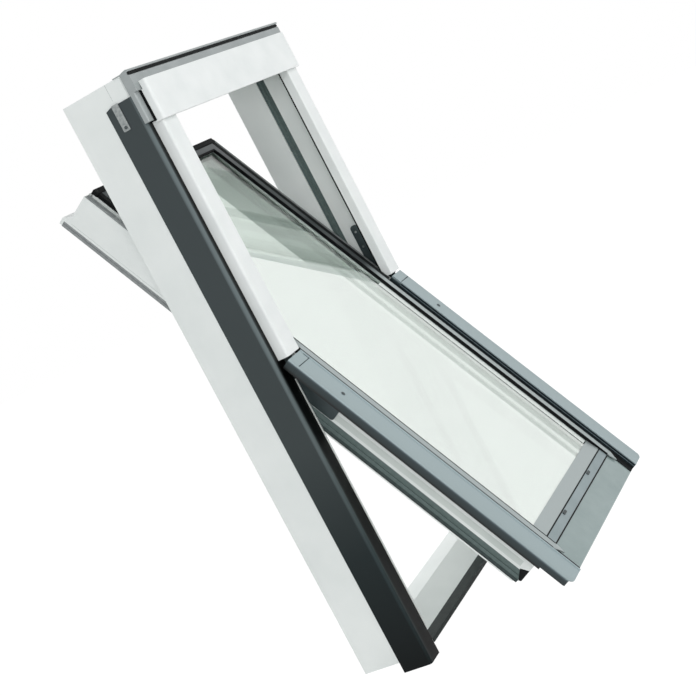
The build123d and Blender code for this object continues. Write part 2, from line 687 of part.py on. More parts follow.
def beads():
    """Glazing beads on four sides, the weather rib round three, and the rubber line."""
    top_out = top_body - 1.0 - wrib_top_t - wrib_gap
    top_in = top_out - bead_top_wide
    low_in = sight_low - bead_inset
    side = run_up(
        [(bead_u, bead_foot), (bead_u, bead_top), (bead_in_u, bead_top), (bead_in_u, bead_foot)],
        bead_s0, top_out, ((1, 0.8), (2, 0.5)),
    )
    top = run_across(
        [(bead_foot, top_out), (bead_top, top_out), (bead_top, top_in), (bead_foot, top_in)],
        bead_u, frame_w - bead_u, ((1, 0.8), (2, 0.5)),
    )
    far = frame_w - bead_u
    corner_l, corner_r = (bead_u, top_out), (far, top_out)
    inner_l, inner_r = (bead_in_u, top_in), (frame_w - bead_in_u, top_in)
    side &= between_corners((bead_u, bead_s0), (bead_in_u, bead_s0), inner_l, corner_l)
    top &= between_corners(corner_l, inner_l, inner_r, corner_r)
    low_u = bead_in_u + glaze_seal_t + wrib_gap
    low_out = strip_s1 + strip_gap
    low = run_across(
        [(bead_foot, low_out), (bead_low_out, low_out), (bead_low_in, low_in), (bead_foot, low_in)],
        low_u, frame_w - low_u, ((1, 0.8),),
    )
    nodes["bead_left"] = side
    nodes["bead_right"] = mirrored(side)
    nodes["bead_bottom"] = low
    nodes["bead_top"] = top
    rib_end = top_body - 1.0
    rib_low = strip_s1 + strip_gap
    base = block(rib_u + rib_t + 0.5, frame_w - rib_u - rib_t - 0.5, rib_low, rib_end, bead_foot,
                 bead_foot + wrib_h)
    u0 = bead_u - wrib_gap
    base -= block(u0, frame_w - u0, 0, rib_end - wrib_top_t, bead_foot - 1, wrib_top + 1)
    crown = block(rib_u, frame_w - rib_u, rib_end - wrib_top_t, rib_end, bead_foot, wrib_top)
    high_end = rib_end - wrib_top_t
    high = block(rib_u + rib_t + 0.5, u0 - wrib_side_in, pivot_v + wrib_from, high_end, bead_foot, bead_top)
    nodes["weather_rib"] = base + crown + high + mirrored(high)
    u1, t = bead_in_u, glaze_seal_t
    outer = block(u1, frame_w - u1, bead_s0, top_in, bead_foot, bead_foot + glaze_seal_h)
    room = block(u1 + t, frame_w - u1 - t, 0, top_in - 2 * t, bead_foot - 1, bead_top)
    nodes["glazing_seal"] = outer - room


def cap_seals():
    """The seals that the white side covers close on, along the stiles' outer walls."""
    u0, u1 = sash_u0 + cap_seal_in, sash_u0 + stile_wall_t - cap_seal_in
    seal = block(u0, u1, pivot_v + seal_break, top_body - 2, sash_wall_top, sash_wall_top + cap_seal_h)
    seal -= block(u0 + 4, u1 - 4, 0, frame_l, sash_wall_top + cap_seal_h / 2, sash_wall_top + 5)
    nodes["cap_seal_left"] = seal
    nodes["cap_seal_right"] = mirrored(seal)


def cover_outline(wall):
    """The folded section of the grey lower cover, as (u, z) points, and its rounded corners."""
    u0, u1 = cover_u0, cover_u1
    top, high = cover_top, cover_top + cover_ridge
    inner = u1 - cover_ridge_t
    near = top + cover_rise
    points = [
        (u0, cover_low), (u0, top), (inner - 1.0, near), (inner - 0.5, high), (u1, high),
        (u1, cover_in_low), (u1 - wall, cover_in_low), (u1 - wall, near - wall),
        (u0 + wall, top - wall), (u0 + wall, cover_low),
    ]
    return points, ((1, cover_bend), (8, cover_bend - wall))


def lower_covers():
    points, rounds = cover_outline(sheet)
    cover = run_up(points, cover_s0, cover_s1, rounds)
    plan = run_out(
        [(cover_u0, cover_s0), (cover_u1 * 2, cover_s0), (cover_u1 * 2, frame_l), (cover_u0, frame_l)],
        0, 2 * frame_depth, ((0, cover_corner),),
    )
    cover &= plan
    cover -= block(cover_u0 - 1, cover_u0 + 3 * sheet, cover_s0 - 1, cover_step_s, cover_low - 1,
                   cover_low + cover_step_h)
    points, rounds = cover_outline(sheet + 0.4)
    end = run_up(points, cover_s1 + 0.2, cover_end_s, rounds)
    nodes["lower_cover_left"] = cover
    nodes["lower_cover_right"] = mirrored(cover)
    nodes["cover_end_left"] = end
    nodes["cover_end_right"] = mirrored(end)
    rests = []
    for s in cover_rest_s:
        s0, s1 = s - cover_rest_len / 2, s + cover_rest_len / 2
        top = cover_top - sheet
        foot = block(sash_u0 + 0.5, sash_u0 + stile_wall_t - 0.5, s0, s1, sash_wall_top, top)
        arm = block(cover_rest_u, sash_u0 + 1, s0, s1, top - 4, top)
        rests.append(foot + arm)
    nodes["cover_rests"] = Compound(rests + [mirrored(r) for r in rests])
    level = cover_top + 0.57 * cover_rise
    head = rod(cover_screw_u, cover_screw_s, level, screw_r, screw_head, (0, -1, 0))
    head = fillet(head.edges().group_by(Axis.Y)[0], 0.8)
    nodes["cover_screws"] = Compound([head, mirrored(head)])


def bottom_apron():
    sheet_low = apron_top - sheet
    apron = run_across(
        [
            (sheet_low, apron_s1), (apron_top, apron_s1), (apron_top, cover_s0),
            (apron_top - apron_lip, cover_s0), (apron_top - apron_lip, cover_s0 + sheet),
            (sheet_low, cover_s0 + sheet),
        ],
        apron_u, frame_w - apron_u, ((2, 2.0),),
    )
    low_u = bead_in_u + glaze_seal_t + wrib_gap
    notch = block(bead_u - wrib_gap, low_u, bead_s0 - wrib_gap, sash_low_end, sheet_low - 1, apron_top + 1)
    nodes["bottom_apron"] = apron - notch - mirrored(notch)
    lap = apron_top + strip_lap
    strip = run_across(
        [
            (sash_wall_top, apron_s1 + 0.3), (sash_wall_top, strip_s1), (strip_top, strip_s1),
            (strip_top, bead_s0), (lap, bead_s0), (lap, apron_s1 + 0.3),
        ],
        low_u, frame_w - low_u, ((2, 0.6), (3, 0.6)),
    )
    nodes["clamp_strip"] = strip
    clips = []
    for side in (-1, 1):
        mid = frame_w / 2 + side * clip_across / 2
        s1 = strip_s1 - 2
        clip = block(mid - clip_len / 2, mid + clip_len / 2, s1 - 6, s1, strip_top, strip_top + clip_height)
        clips.append(fillet(clip.edges().filter_by(Axis.Y), 2.0))
    nodes["strip_clips"] = Compound(clips)


# Handle bar and latch, on the room side of the top rail
def handle_and_latch():
    mid = frame_w / 2
    u0, u1 = mid - handle_len / 2, mid + handle_len / 2
    r_hole = handle_pin_r + handle_pin_gap
    ears, brackets = [], []
    for side in (-1, 1):
        ear_mid = mid + side * (handle_len / 2 - handle_ear_in)
        e0, e1 = ear_mid - handle_ear_t / 2, ear_mid + handle_ear_t / 2
        r_ear = handle_ear_r
        ear = rod(e0, handle_s, handle_w, r_ear, handle_ear_t, (1, 0, 0))
        ear += block(e0, e1, handle_s - r_ear, handle_s + r_ear, handle_w - handle_drop, handle_w)
        ear -= rod(e0 - 1, handle_s, handle_w, r_hole, handle_ear_t + 2, (1, 0, 0))
        ears.append(ear)
        for face in (-1, 1):
            b0 = ear_mid + face * (handle_ear_t / 2 + handle_ear_gap)
            b1 = b0 + face * cheek_t
            low_b, high_b = min(b0, b1), max(b0, b1)
            cheek = block(low_b, high_b, handle_s - r_ear, handle_s + r_ear, handle_w, sash_back)
            cheek += rod(low_b, handle_s, handle_w, r_ear, cheek_t, (1, 0, 0))
            brackets.append(cheek)
        span = handle_ear_t + 2 * handle_ear_gap + 2
        brackets.append(rod(ear_mid - span / 2, handle_s, handle_w, handle_pin_r, span, (1, 0, 0)))
        half = 2 * r_ear
        foot = block(ear_mid - half, ear_mid + half, handle_s - half, handle_s + half,
                     sash_back - cheek_t, sash_back)
        brackets.append(foot)
    low, high = handle_s - handle_wide, handle_s + handle_rise
    back = handle_w - handle_drop
    bar = run_across(
        [(back, high), (back + handle_t, high), (back + handle_t, low), (back - 4, low - 6),
         (back - 8, low - 4), (back, low + 8)],
        u0, u1, ((1, 1.5), (0, 1.5), (3, 1.0), (4, 1.0)),
    )
    bar += ears
    nodes["handle_bar"] = bar
    carrier = brackets[0]
    for piece in brackets[1:]:
        carrier += piece
    nodes["handle_brackets"] = carrier
    tip = sash_top_end + latch_reach
    z0, z1 = latch_z - latch_thick / 2, latch_z + latch_thick / 2
    bolt = run_across(
        [(z0, latch_s0), (z0, tip - 5), (z0 + 4, tip), (z1, tip), (z1, latch_s0)],
        mid - latch_wide / 2, mid + latch_wide / 2,
    )
    nodes["latch_bolt"] = bolt


def striker_plate():
    mid = frame_w / 2
    inner = frame_l - head_t
    half_u = latch_wide / 2 + striker_room
    half_w = latch_thick / 2 + striker_room
    plate = block(
        mid - striker_len / 2, mid + striker_len / 2, inner, inner + striker_t,
        latch_z - striker_wide / 2, latch_z + striker_wide / 2,
    )
    plate -= block(mid - half_u, mid + half_u, inner - 1, inner + 5, latch_z - half_w, latch_z + half_w)
    nodes["striker_plate"] = plate


frame_bars()
side_cladding()
sill_strip()
head_flashing()
head_cover()
upper_side_covers()
cladding_brackets()
jamb_seals()
fixed_hinge()
striker_plate()
frame_nodes = set(nodes)

sash_bars()
side_seals()
glass_unit()
beads()
cap_seals()
lower_covers()
bottom_apron()
handle_and_latch()
half = moving_hinge()
nodes["sash_hinge_left"] = half
nodes["sash_hinge_right"] = mirrored(half)

pivot_line = Axis((0, row_w - pivot_w, pivot_v), (1, 0, 0))
for name, shape in nodes.items():
    if name not in frame_nodes:
        shape = shape.rotate(pivot_line, -rest_open)
    shape.label = name
    export_step(shape, f"parts/{name}.step")
print(len(nodes), "nodes")
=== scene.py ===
# %% [markdown]
# # A centre-pivot roof window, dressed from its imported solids
# The solids come first: they hold every bar, cover and pane at its true size.  This lesson gives
# them the finishes of the real window, adds the small things that a saw or a press leaves, and
# sets up a camera and soft light.  Everything is in metres, in the frame of the solids: X runs
# across the window, Z up the slope of the roof, and -Y points out of the roof.

# %% Load the solids
import math

import bpy
import numpy as np
from mathutils import Matrix, Vector


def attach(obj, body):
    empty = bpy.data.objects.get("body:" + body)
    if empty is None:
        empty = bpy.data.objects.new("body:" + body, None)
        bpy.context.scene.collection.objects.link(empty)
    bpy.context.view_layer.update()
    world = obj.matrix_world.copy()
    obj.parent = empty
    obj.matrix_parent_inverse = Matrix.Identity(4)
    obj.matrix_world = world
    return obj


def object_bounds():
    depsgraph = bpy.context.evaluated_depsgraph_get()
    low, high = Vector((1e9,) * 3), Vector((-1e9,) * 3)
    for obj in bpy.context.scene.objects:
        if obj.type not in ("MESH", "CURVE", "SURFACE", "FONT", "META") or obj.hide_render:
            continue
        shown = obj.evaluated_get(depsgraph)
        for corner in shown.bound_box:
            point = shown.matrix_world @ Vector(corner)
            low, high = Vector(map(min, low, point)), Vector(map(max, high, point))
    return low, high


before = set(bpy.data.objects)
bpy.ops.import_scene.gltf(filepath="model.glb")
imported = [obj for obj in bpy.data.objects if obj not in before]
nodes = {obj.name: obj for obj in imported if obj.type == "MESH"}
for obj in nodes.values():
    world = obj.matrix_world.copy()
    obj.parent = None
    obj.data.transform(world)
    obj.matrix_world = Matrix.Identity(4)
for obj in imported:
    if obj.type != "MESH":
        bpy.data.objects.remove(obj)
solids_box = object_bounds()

# %% [markdown]
# ## Colour
# Paint makers print colours as sRGB codes, and Blender's shaders work in linear light.  The
# codes could be turned by hand in the colour picker, but one function keeps every colour of the
# window readable and turns them all by the same rule.


# %% Colours from a chart
def chart(code):
    """sRGB hex to linear RGBA: c / 12.92 below 0.04045, else ((c + 0.055) / 1.055) ** 2.4."""
    c = np.array([int(code[i : i + 2], 16) for i in (1, 3, 5)]) / 255.0
    linear = np.where(c <= 0.04045, c / 12.92, ((c + 0.055) / 1.055) ** 2.4)
    return (*linear.tolist(), 1.0)


print("mid grey #808080 is", round(chart("#808080")[0], 3), "in linear light")

# %% [markdown]
# ## Shader nodes
# A material is a small graph.  Clicked together by hand it can't be read later, so one function
# adds a node with its properties, its socket values and its links, and a second one starts a
# material: a Principled shader, an output, and the object's own coordinates.  Those coordinates
# stay with the piece when the sash turns, so no pattern slides over it.


# %% Start a material
def add(tree, kind, settings=None, values=None, links=None):
    """Adds a shader node: settings are its properties, values its sockets, links its inputs."""
    made = tree.nodes.new(kind)
    for name, value in (settings or {}).items():
        setattr(made, name, value)
    for name, value in (values or {}).items():
        made.inputs[name].default_value = value
    for name, source in (links or {}).items():
        tree.links.new(source, made.inputs[name])
    return made


def new_material(name):
    """An empty material with one Principled shader and the object's own coordinates."""
    material = bpy.data.materials.new(name)
    material.use_nodes = True
    tree = material.node_tree
    tree.nodes.clear()
    shader = add(tree, "ShaderNodeBsdfPrincipled")
    add(tree, "ShaderNodeOutputMaterial", links={"Surface": shader.outputs["BSDF"]})
    place = add(tree, "ShaderNodeTexCoord").outputs["Object"]
    return material, tree, shader, place


# %% [markdown]
# ## Grain, in millimetres
# No factory surface is one flat colour: it has cloudiness, a changing sheen and a skin that is
# never quite even.  A painted picture could show that, but it would have to be unwrapped onto
# each piece.  Noise in space needs no unwrapping, and its grain can be given in millimetres,
# because coordinates are in metres: a grain of g millimetres is a noise scale of 1000 / g.


# %% Grain and relief
def mottle(tree, place, millimetres, detail=3.0):
    """Soft noise whose grain is that many millimetres across, from 0 to 1."""
    scale = 1000.0 / millimetres
    made = add(tree, "ShaderNodeTexNoise", values={"Scale": scale, "Detail": detail},
               links={"Vector": place})
    return made.outputs["Fac"]


def relief(tree, shader, height, millimetres, strength):
    """Gives the shader a bump of that height in millimetres."""
    bump = add(tree, "ShaderNodeBump",
               values={"Strength": strength, "Distance": millimetres / 1000.0},
               links={"Height": height})
    tree.links.new(bump.outputs["Normal"], shader.inputs["Normal"])


# %% [markdown]
# ## From a factor to a colour or a number
# Grain comes as a number from 0 to 1.  A colour ramp turns it into a colour, and a range node
# into a roughness.  Noise seldom leaves the middle of its range, so the plain colour ramp is
# read from 0.3 to 0.7, where the noise really is.


# %% Ramps and ranges
def ramp(tree, factor, stops):
    """A colour ramp through [(position, hex), ...], straight between two stops."""
    made = add(tree, "ShaderNodeValToRGB", links={"Fac": factor})
    points = made.color_ramp.elements
    points[0].position, points[0].color = stops[0][0], chart(stops[0][1])
    points[1].position, points[1].color = stops[-1][0], chart(stops[-1][1])
    for position, code in stops[1:-1]:
        points.new(position).color = chart(code)
    return made.outputs["Color"]


def between(tree, factor, low, high):
    """A colour that runs from low to high as the factor runs from 0.3 to 0.7."""
    return ramp(tree, factor, [(0.3, low), (0.7, high)])


def range_of(tree, factor, low, high):
    """A number that runs from low to high as the factor runs from 0 to 1."""
    made = add(tree, "ShaderNodeMapRange", values={"To Min": low, "To Max": high},
               links={"Value": factor})
    return made.outputs["Result"]


def times(tree, first, second):
    """The product of two numbers."""
    made = add(tree, "ShaderNodeMath", {"operation": "MULTIPLY"}, links={0: first, 1: second})
    return made.outputs[0]


# %% [markdown]
# ## Along a direction
# Some looks change from one end of a piece to the other.  The place of a point along a
# direction d is the dot product d . position, and a range node turns a stretch of it into 0 to
# 1.  For the two claddings the distance from the middle of the window, |x|, does the same for
# the left and the right piece at once.


# %% Along a direction
def along(tree, place, direction, start, end, low, high, kind="SMOOTHSTEP"):
    """Runs from low to high while direction . position, or |x|, runs from start to end."""
    if direction == "across":
        parts = add(tree, "ShaderNodeSeparateXYZ", links={"Vector": place})
        reach = add(tree, "ShaderNodeMath", {"operation": "ABSOLUTE"},
                    links={0: parts.outputs["X"]})
    else:
        reach = add(tree, "ShaderNodeVectorMath", {"operation": "DOT_PRODUCT"}, links={0: place})
        reach.inputs[1].default_value = direction
    made = add(tree, "ShaderNodeMapRange", {"interpolation_type": kind},
               {"From Min": start, "From Max": end, "To Min": low, "To Max": high},
               {"Value": reach.outputs["Value"]})
    return made.outputs["Result"]


# %% [markdown]
# ## White PVC
# The bars of frame and sash are white PVC, drawn through a die and welded at the mitres.  Such
# plastic has a soft sheen with almost no grain.  What the eye gets is a faint cloudiness a hand
# wide and a very shallow waviness along the bar.  One flat white would look like paper, so three
# noises carry its colour, its sheen and its relief, each with a grain of its own.


# %% White PVC
def extruded_white_pvc():
    """PVC with clouds of 120 mm, sheen in patches of 30 mm and waves of 4 mm."""
    material, tree, shader, place = new_material("white_pvc_extruded")
    cloud = mottle(tree, place, 120.0)
    tree.links.new(between(tree, cloud, "#DFE4E2", "#E8ECEA"), shader.inputs["Base Color"])
    sheen = mottle(tree, place, 30.0)
    tree.links.new(range_of(tree, sheen, 0.30, 0.42), shader.inputs["Roughness"])
    relief(tree, shader, mottle(tree, place, 4.0), 0.05, 0.25)
    shader.inputs["IOR"].default_value = 1.52
    return material


# %% [markdown]
# ## Powder coats
# The metal covers are sheet aluminium with a baked powder coat.  The powder melts into a skin
# that is never quite flat, like orange peel, about a millimetre and a half from bump to bump.
# Real bumps could be modelled, but a shallow relief in the shader catches the light the same way
# and costs no points.  That skin is the same for every coat, so one function gives it, and a
# second one adds the plain colour.


# %% Powder coats
def coated_sheet(tree, shader, place, rough, metal, gloss):
    """The skin of a coat: sheen in patches of 12 mm and orange peel of 1.6 mm."""
    sheen = mottle(tree, place, 12.0)
    tree.links.new(range_of(tree, sheen, rough - 0.05, rough + 0.06), shader.inputs["Roughness"])
    relief(tree, shader, mottle(tree, place, 1.6, 1.0), 0.03, 0.3)
    shader.inputs["Metallic"].default_value = metal
    shader.inputs["Specular IOR Level"].default_value = gloss


def powder_coat(name, low, high, rough, metal=0.0, gloss=0.5):
    """A coat of one colour, clouded from low to high in patches of 60 mm."""
    material, tree, shader, place = new_material(name)
    tree.links.new(between(tree, mottle(tree, place, 60.0), low, high),
                   shader.inputs["Base Color"])
    coated_sheet(tree, shader, place, rough, metal, gloss)
    return material


# %% [markdown]
# ## Coats that change along the part
# The anthracite sheet is darker towards the sill end, which is painted shade, has a painted
# highlight along its bend, and is nearly black on the narrow side that faces out of the roof, a
# painted dark reflection.  The grey covers are pale on top and slate grey down their folded sides,
# which is painted shade.  The glazing beads are bright below the hinges and dark above them, which
# is painted light.  Painting masks by hand would tie the looks to one mesh, so each change is a
# ramp along a direction, and where two changes meet their colours are multiplied.


# %% Graded coats
def graded_coat(name, grades, rough, metal=0.0, gloss=0.5):
    """A coat whose colour is the product of ramps: [(direction, start, end, stops), ...]."""
    material, tree, shader, place = new_material(name)
    colour = None
    for direction, start, end, stops in grades:
        factor = along(tree, place, direction, start, end, 0.0, 1.0, "LINEAR")
        step = ramp(tree, factor, stops)
        if colour is None:
            colour = step
        else:
            made = add(tree, "ShaderNodeVectorMath", {"operation": "MULTIPLY"},
                       links={0: colour, 1: step})
            colour = made.outputs["Vector"]
    tree.links.new(colour, shader.inputs["Base Color"])
    coated_sheet(tree, shader, place, rough, metal, gloss)
    return material


# %% [markdown]
# ## Directions of the open sash
# The sash stands open by 27.36 degrees, so its own directions slant.  With a the opening angle,
# up the sash is (0, sin a, cos a) and out of the sash is (0, -cos a, sin a).  Two distances
# measured on the closed sash follow from the dot product and a fixed offset: s, up from the
# sill, and z, out from the room face.


# %% Directions of the open sash
opened = math.radians(27.36)
up_slope = (0.0, 0.4596, 0.8882)
out_of_sash = (0.0, -0.8882, 0.4596)
s_offset, z_offset = -0.1217, 0.2195


def sash_s(millimetres):
    """The product with up_slope at that s: s in metres, less 0.1217."""
    return millimetres / 1000.0 + s_offset


def sash_z(millimetres):
    """The product with out_of_sash at that z: z in metres, plus 0.2195."""
    return millimetres / 1000.0 + z_offset


print("sin and cos of the opening:", round(math.sin(opened), 4), round(math.cos(opened), 4))

# %% [markdown]
# ## Rubber
# Seals are extruded rubber: matte, and a little dusty where they have been handled.  They send
# back little light, so their specular level is low.  The real pores are finer than the 0.8 mm
# drawn here: at their true size no picture of a whole window would show them.


# %% Rubber
def seal_rubber(name, low, high):
    """Rubber from low to high in specks of 8 mm, with pores of 0.8 mm."""
    material, tree, shader, place = new_material(name)
    tree.links.new(between(tree, mottle(tree, place, 8.0, 6.0), low, high),
                   shader.inputs["Base Color"])
    relief(tree, shader, mottle(tree, place, 0.8, 2.0), 0.05, 0.4)
    shader.inputs["Roughness"].default_value = 0.62
    shader.inputs["Specular IOR Level"].default_value = 0.12
    return material


# %% [markdown]
# ## Glass
# The insulating glass is two float panes with a cool green cast.  The outer pane has a thin
# reflecting coat.  Its reflection is painted: a bright sky below a slanting edge and dark
# surroundings above it.  The surroundings could be built and mirrored, but they are no part of the
# window, so the strength of the coat steps down across that edge instead.  The edge is the plane
# 0.7 X + up_slope . position = 0.67.  The coat is also weaker along two bars beside the right
# bead, a painted reflection of the frame.


# %% Painted reflection of bars beside the right bead
bars_from, bars_to = 125.0, 225.0     # millimetres right of the window's middle
painted_bar_reflection = [(125.0, "#FFFFFF"), (131.4, "#FFFFFF"), (137.0, "#959595"), (145.8, "#959595"),
                 (158.6, "#E7E7E7"), (164.2, "#E7E7E7"), (170.6, "#8A8A8A"), (189.0, "#8A8A8A"),
                 (197.0, "#E0E0E0"), (205.0, "#E0E0E0"), (208.0, "#5A5A5A"), (225.0, "#5A5A5A")]
painted_bar_stops = [((x - bars_from) / (bars_to - bars_from), code) for x, code in painted_bar_reflection]
print(len(painted_bar_stops), "stops over", bars_to - bars_from, "mm")

# %% [markdown]
# ## The two panes
# Glass needs no grain: it is smooth, and it lets light through.  The coat could be a second
# pane of metal a hair above the first, but the shader's Metallic mixes the two in one surface.
# Faint streaks, longer up the window than across it, keep the painted reflection of the sky from
# looking flat.


# %% Float glass
sky_strength, dark_strength = 0.80, 0.03
sky_edge = (0.664, 0.676)


def float_glass(name):
    """Clear float glass, and its tree for more nodes."""
    material, tree, shader, place = new_material(name)
    shader.inputs["Base Color"].default_value = chart("#F3F9F5")
    shader.inputs["Roughness"].default_value = 0.0
    shader.inputs["IOR"].default_value = 1.5
    shader.inputs["Transmission Weight"].default_value = 1.0
    return material, tree, shader, place


def reflecting_glass(name):
    """Float glass with a painted reflection: its coat is strong below the slanting edge and weak
    above it.
    """
    material, tree, shader, place = float_glass(name)
    # Painted reflection: the coat's strength falls across the slanting edge and weakens along bars
    # beside the right bead.
    sky = along(tree, place, (0.7, *up_slope[1:]), *sky_edge, sky_strength, dark_strength)
    turned = add(tree, "ShaderNodeMapping", links={"Vector": place})
    turned.inputs["Rotation"].default_value = (0.0, 0.6, 0.3)
    turned.inputs["Scale"].default_value = (1.0, 5.0, 0.6)
    streak = mottle(tree, turned.outputs["Vector"], 150.0, 2.0)
    coat = times(tree, sky, range_of(tree, streak, 0.90, 1.10))
    beside = along(tree, place, (1.0, 0.0, 0.0), bars_from / 1000.0, bars_to / 1000.0, 0.0, 1.0,
                   "LINEAR")
    tree.links.new(times(tree, coat, ramp(tree, beside, painted_bar_stops)), shader.inputs["Metallic"])
    return material


# %% [markdown]
# ## Bare metals
# Brackets, screws and the latch are steel with a thin layer of zinc: bright but hazy, and
# cloudy in patches a few millimetres wide.  The spacer bar between the panes is aluminium, paler
# and more even.  Both are a metal with a grain, so one function starts them, and each adds only
# how rough it is.


# %% Zinc and aluminium
def bare_metal(name, low, high, grain, detail=3.0):
    """A metal from low to high in that grain, in millimetres."""
    material, tree, shader, place = new_material(name)
    tree.links.new(between(tree, mottle(tree, place, grain, detail), low, high),
                   shader.inputs["Base Color"])
    shader.inputs["Metallic"].default_value = 1.0
    return material, tree, shader, place


def zinc_plate():
    """Zinc with clouds of 5 mm, and haze in patches of 3 mm."""
    material, tree, shader, place = bare_metal("zinc_plated_steel", "#858B8B", "#A6ABAA", 5.0, 5.0)
    tree.links.new(range_of(tree, mottle(tree, place, 3.0), 0.28, 0.5), shader.inputs["Roughness"])
    return material


def spacer_aluminium():
    """Aluminium with a grain of 3 mm and one sheen all over."""
    material, tree, shader, place = bare_metal("spacer_bar_aluminium", "#B8BDBD", "#D2D5D4", 3.0)
    shader.inputs["Roughness"].default_value = 0.35
    return material


# %% [markdown]
# ## The white and anthracite finishes
# The PVC and the white covers are nearly one white, but the covers have the orange peel of a coat
# and the bars don't.  The anthracite coat sends back little light, so the claddings show their own
# colour.  Their three ramps are painted light, multiplied: painted shade towards the sill end, a
# painted highlight over the bend, and a painted dark reflection on the narrow face that looks out
# of the roof.


# %% White and anthracite
finish = {
    "pvc": extruded_white_pvc(),
    "white_coat": powder_coat("white_powder_coat", "#E4E8E7", "#ECEFEE", 0.40),
    "anthracite": powder_coat("anthracite_powder_coat", "#1B2422", "#252E2C", 0.5, gloss=0.15),
}
# Painted light on the claddings: shade towards the sill end, a highlight over the bend, a dark
# reflection on the outer face.
shade_toward_sill_end = ((0.0, 0.0, 1.0), -0.02, 0.75,
                 [(0.0, "#161E1F"), (0.30, "#374345"), (0.6, "#626C6D"), (1.0, "#667072")])
highlight_over_the_bend = ((0.0, -1.0, 0.0), 0.0890, 0.0975,
                 [(0.0, "#A8A8A8"), (0.3, "#A8A8A8"), (0.75, "#F4F4F4"), (1.0, "#FFFFFF")])
dark_reflection_outer_face = ("across", 0.310, 0.327,
              [(0.0, "#060707"), (0.3, "#0A0B0B"), (0.6, "#8A8A8A"), (0.82, "#FFFFFF")])
finish["anthracite_painted_light"] = graded_coat(
    "anthracite_coat_painted_light", [shade_toward_sill_end, highlight_over_the_bend, dark_reflection_outer_face], 0.45, gloss=0.12)
print(len(finish), "finishes so far")

# %% [markdown]
# ## The grey finishes
# The sash's covers have a light grey coat with a metallic look, so the shader is partly metal and
# sends back some of its surroundings.  The apron is glossier than the rest.  The lower covers are
# folded, and their colour runs from slate low on the sides to pale grey on top: painted shade down
# the folded sides.  The beads are bright below the hinges and dark above them, which is painted
# light.


# %% Greys
finish["grey_coat"] = powder_coat("light_grey_powder_coat", "#869496", "#929FA2", 0.38, 0.25)
finish["flashing_coat"] = powder_coat("flashing_powder_coat", "#949A9A", "#A0A6A6", 0.38, 0.25)
finish["gloss_grey_coat"] = powder_coat(
    "light_grey_powder_coat_glossy", "#8A9A99", "#95A4A3", 0.17, 0.35)
# Painted shade: the lower covers' folded sides darken to slate and black towards their lower edge.
shade_down_the_fold = (out_of_sash, sash_z(139.5), sash_z(163.5),
                 [(0.0, "#070B0C"), (0.17, "#101718"), (0.30, "#242F31"), (0.66, "#2C383B"),
                  (0.78, "#4B585D"), (0.90, "#98A7A9"), (1.0, "#A0AFB3")])
finish["grey_coat_painted_shade"] = graded_coat(
    "light_grey_coat_painted_shade", [shade_down_the_fold], 0.36, 0.25)
# Painted light: the beads are bright below the hinges and dark above them.
light_and_shade_up_the_bead = (up_slope, sash_s(601.7), sash_s(661.7), [(0.0, "#A4ADAD"), (1.0, "#4A5052")])
finish["bead"] = graded_coat("bead_grey_aluminium_painted_light", [light_and_shade_up_the_bead], 0.32, 0.45)
print(len(finish), "finishes so far")

# %% [markdown]
# ## The rubber finishes
# A roof window has many seals, and they aren't all black.  The jamb seals and the sash's lower
# ones are mid grey, its upper ones are light grey, and the edge of the glass is closed with a grey
# sealant.  The gasket beside the glass is black rubber on a thin light foot, so its colour changes
# over less than a millimetre.  A pale strip beside it on the glass is painted light, standing in
# for the glass's bright look there.


# %% Rubbers
# Black rubber for real seals, and also for the black strips of painted shade.
finish["black_rubber"] = seal_rubber("seal_rubber_black_and_shade", "#0B0D0E", "#171A1B")
finish["grey_rubber"] = seal_rubber("seal_rubber_grey", "#85898A", "#9A9E9E")
finish["mid_rubber"] = seal_rubber("seal_rubber_mid_grey", "#5C6A68", "#667472")
# Slate for the covers' dark joints, and also the painted shade inside the covers.
finish["slate_joint_and_shade"] = seal_rubber("slate_rubber_and_painted_shade", "#1E272B", "#2C363A")
finish["lip_rubber"] = seal_rubber("seal_rubber_lip", "#3A4444", "#475150")
finish["edge_sealant"] = seal_rubber("glass_edge_sealant_grey", "#8C9694", "#9AA3A0")
finish["pale_painted_light"] = seal_rubber("pale_strip_painted_light", "#E4EAE6", "#ECF1EE")
finish["shade_line"] = seal_rubber("dust_in_the_profile_line", "#A2ABA8", "#B0B8B5")
foot_to_lip = (out_of_sash, sash_z(149.9), sash_z(150.6), [(0.0, "#A9B2AF"), (1.0, "#0B0D0E")])
finish["gasket"] = graded_coat("two_part_gasket_rubber", [foot_to_lip], 0.6, gloss=0.12)
print(len(finish), "finishes so far")

# %% [markdown]
# ## Glass, hardware and shaded plastic
# The inner pane is clear and only the outer one reflects.  The hinge plates are steel with a dark
# coat, and the cover screws are blackened steel in pressed cups.  The recess along a PVC bar is
# painted shade: a coat greyer than the bar's face, because it is too shallow to be shaded by the
# lamps alone.  The ledge inside a cover gets a painted highlight: a grey line, lighter than the
# dark lining it lies on.


# %% Glass, hardware and shaded plastic
finish["glass"] = float_glass("float_glass_clear")[0]
finish["coated_glass"] = reflecting_glass("float_glass_painted_reflection")
finish["zinc"] = zinc_plate()
finish["spacer"] = spacer_aluminium()
finish["dark_steel"] = powder_coat("hinge_steel_dark", "#2C3638", "#414D4F", 0.4, 0.3)
finish["dark_zinc"] = powder_coat("blackened_steel_screw", "#3C4344", "#4B5253", 0.45, 0.5)
finish["cup_steel"] = powder_coat("screw_cup_steel", "#5F6A6E", "#717C80", 0.4, 0.5)
# Painted shade for recesses in the white PVC.
finish["pvc_painted_shade"] = powder_coat("white_pvc_painted_shade", "#C3CBC7", "#CDD4D0", 0.45)
# Painted highlight for the ledge inside a cover.
finish["ledge"] = powder_coat("ledge_painted_highlight", "#6C7A80", "#7A888E", 0.4)
print(len(finish), "finishes")

# %% [markdown]
# ## Who wears what
# The solids already have the window's shapes, so they are left as they are and only their
# materials change.  One table says which solid wears which finish, and a check prints any solid
# that the table forgot.


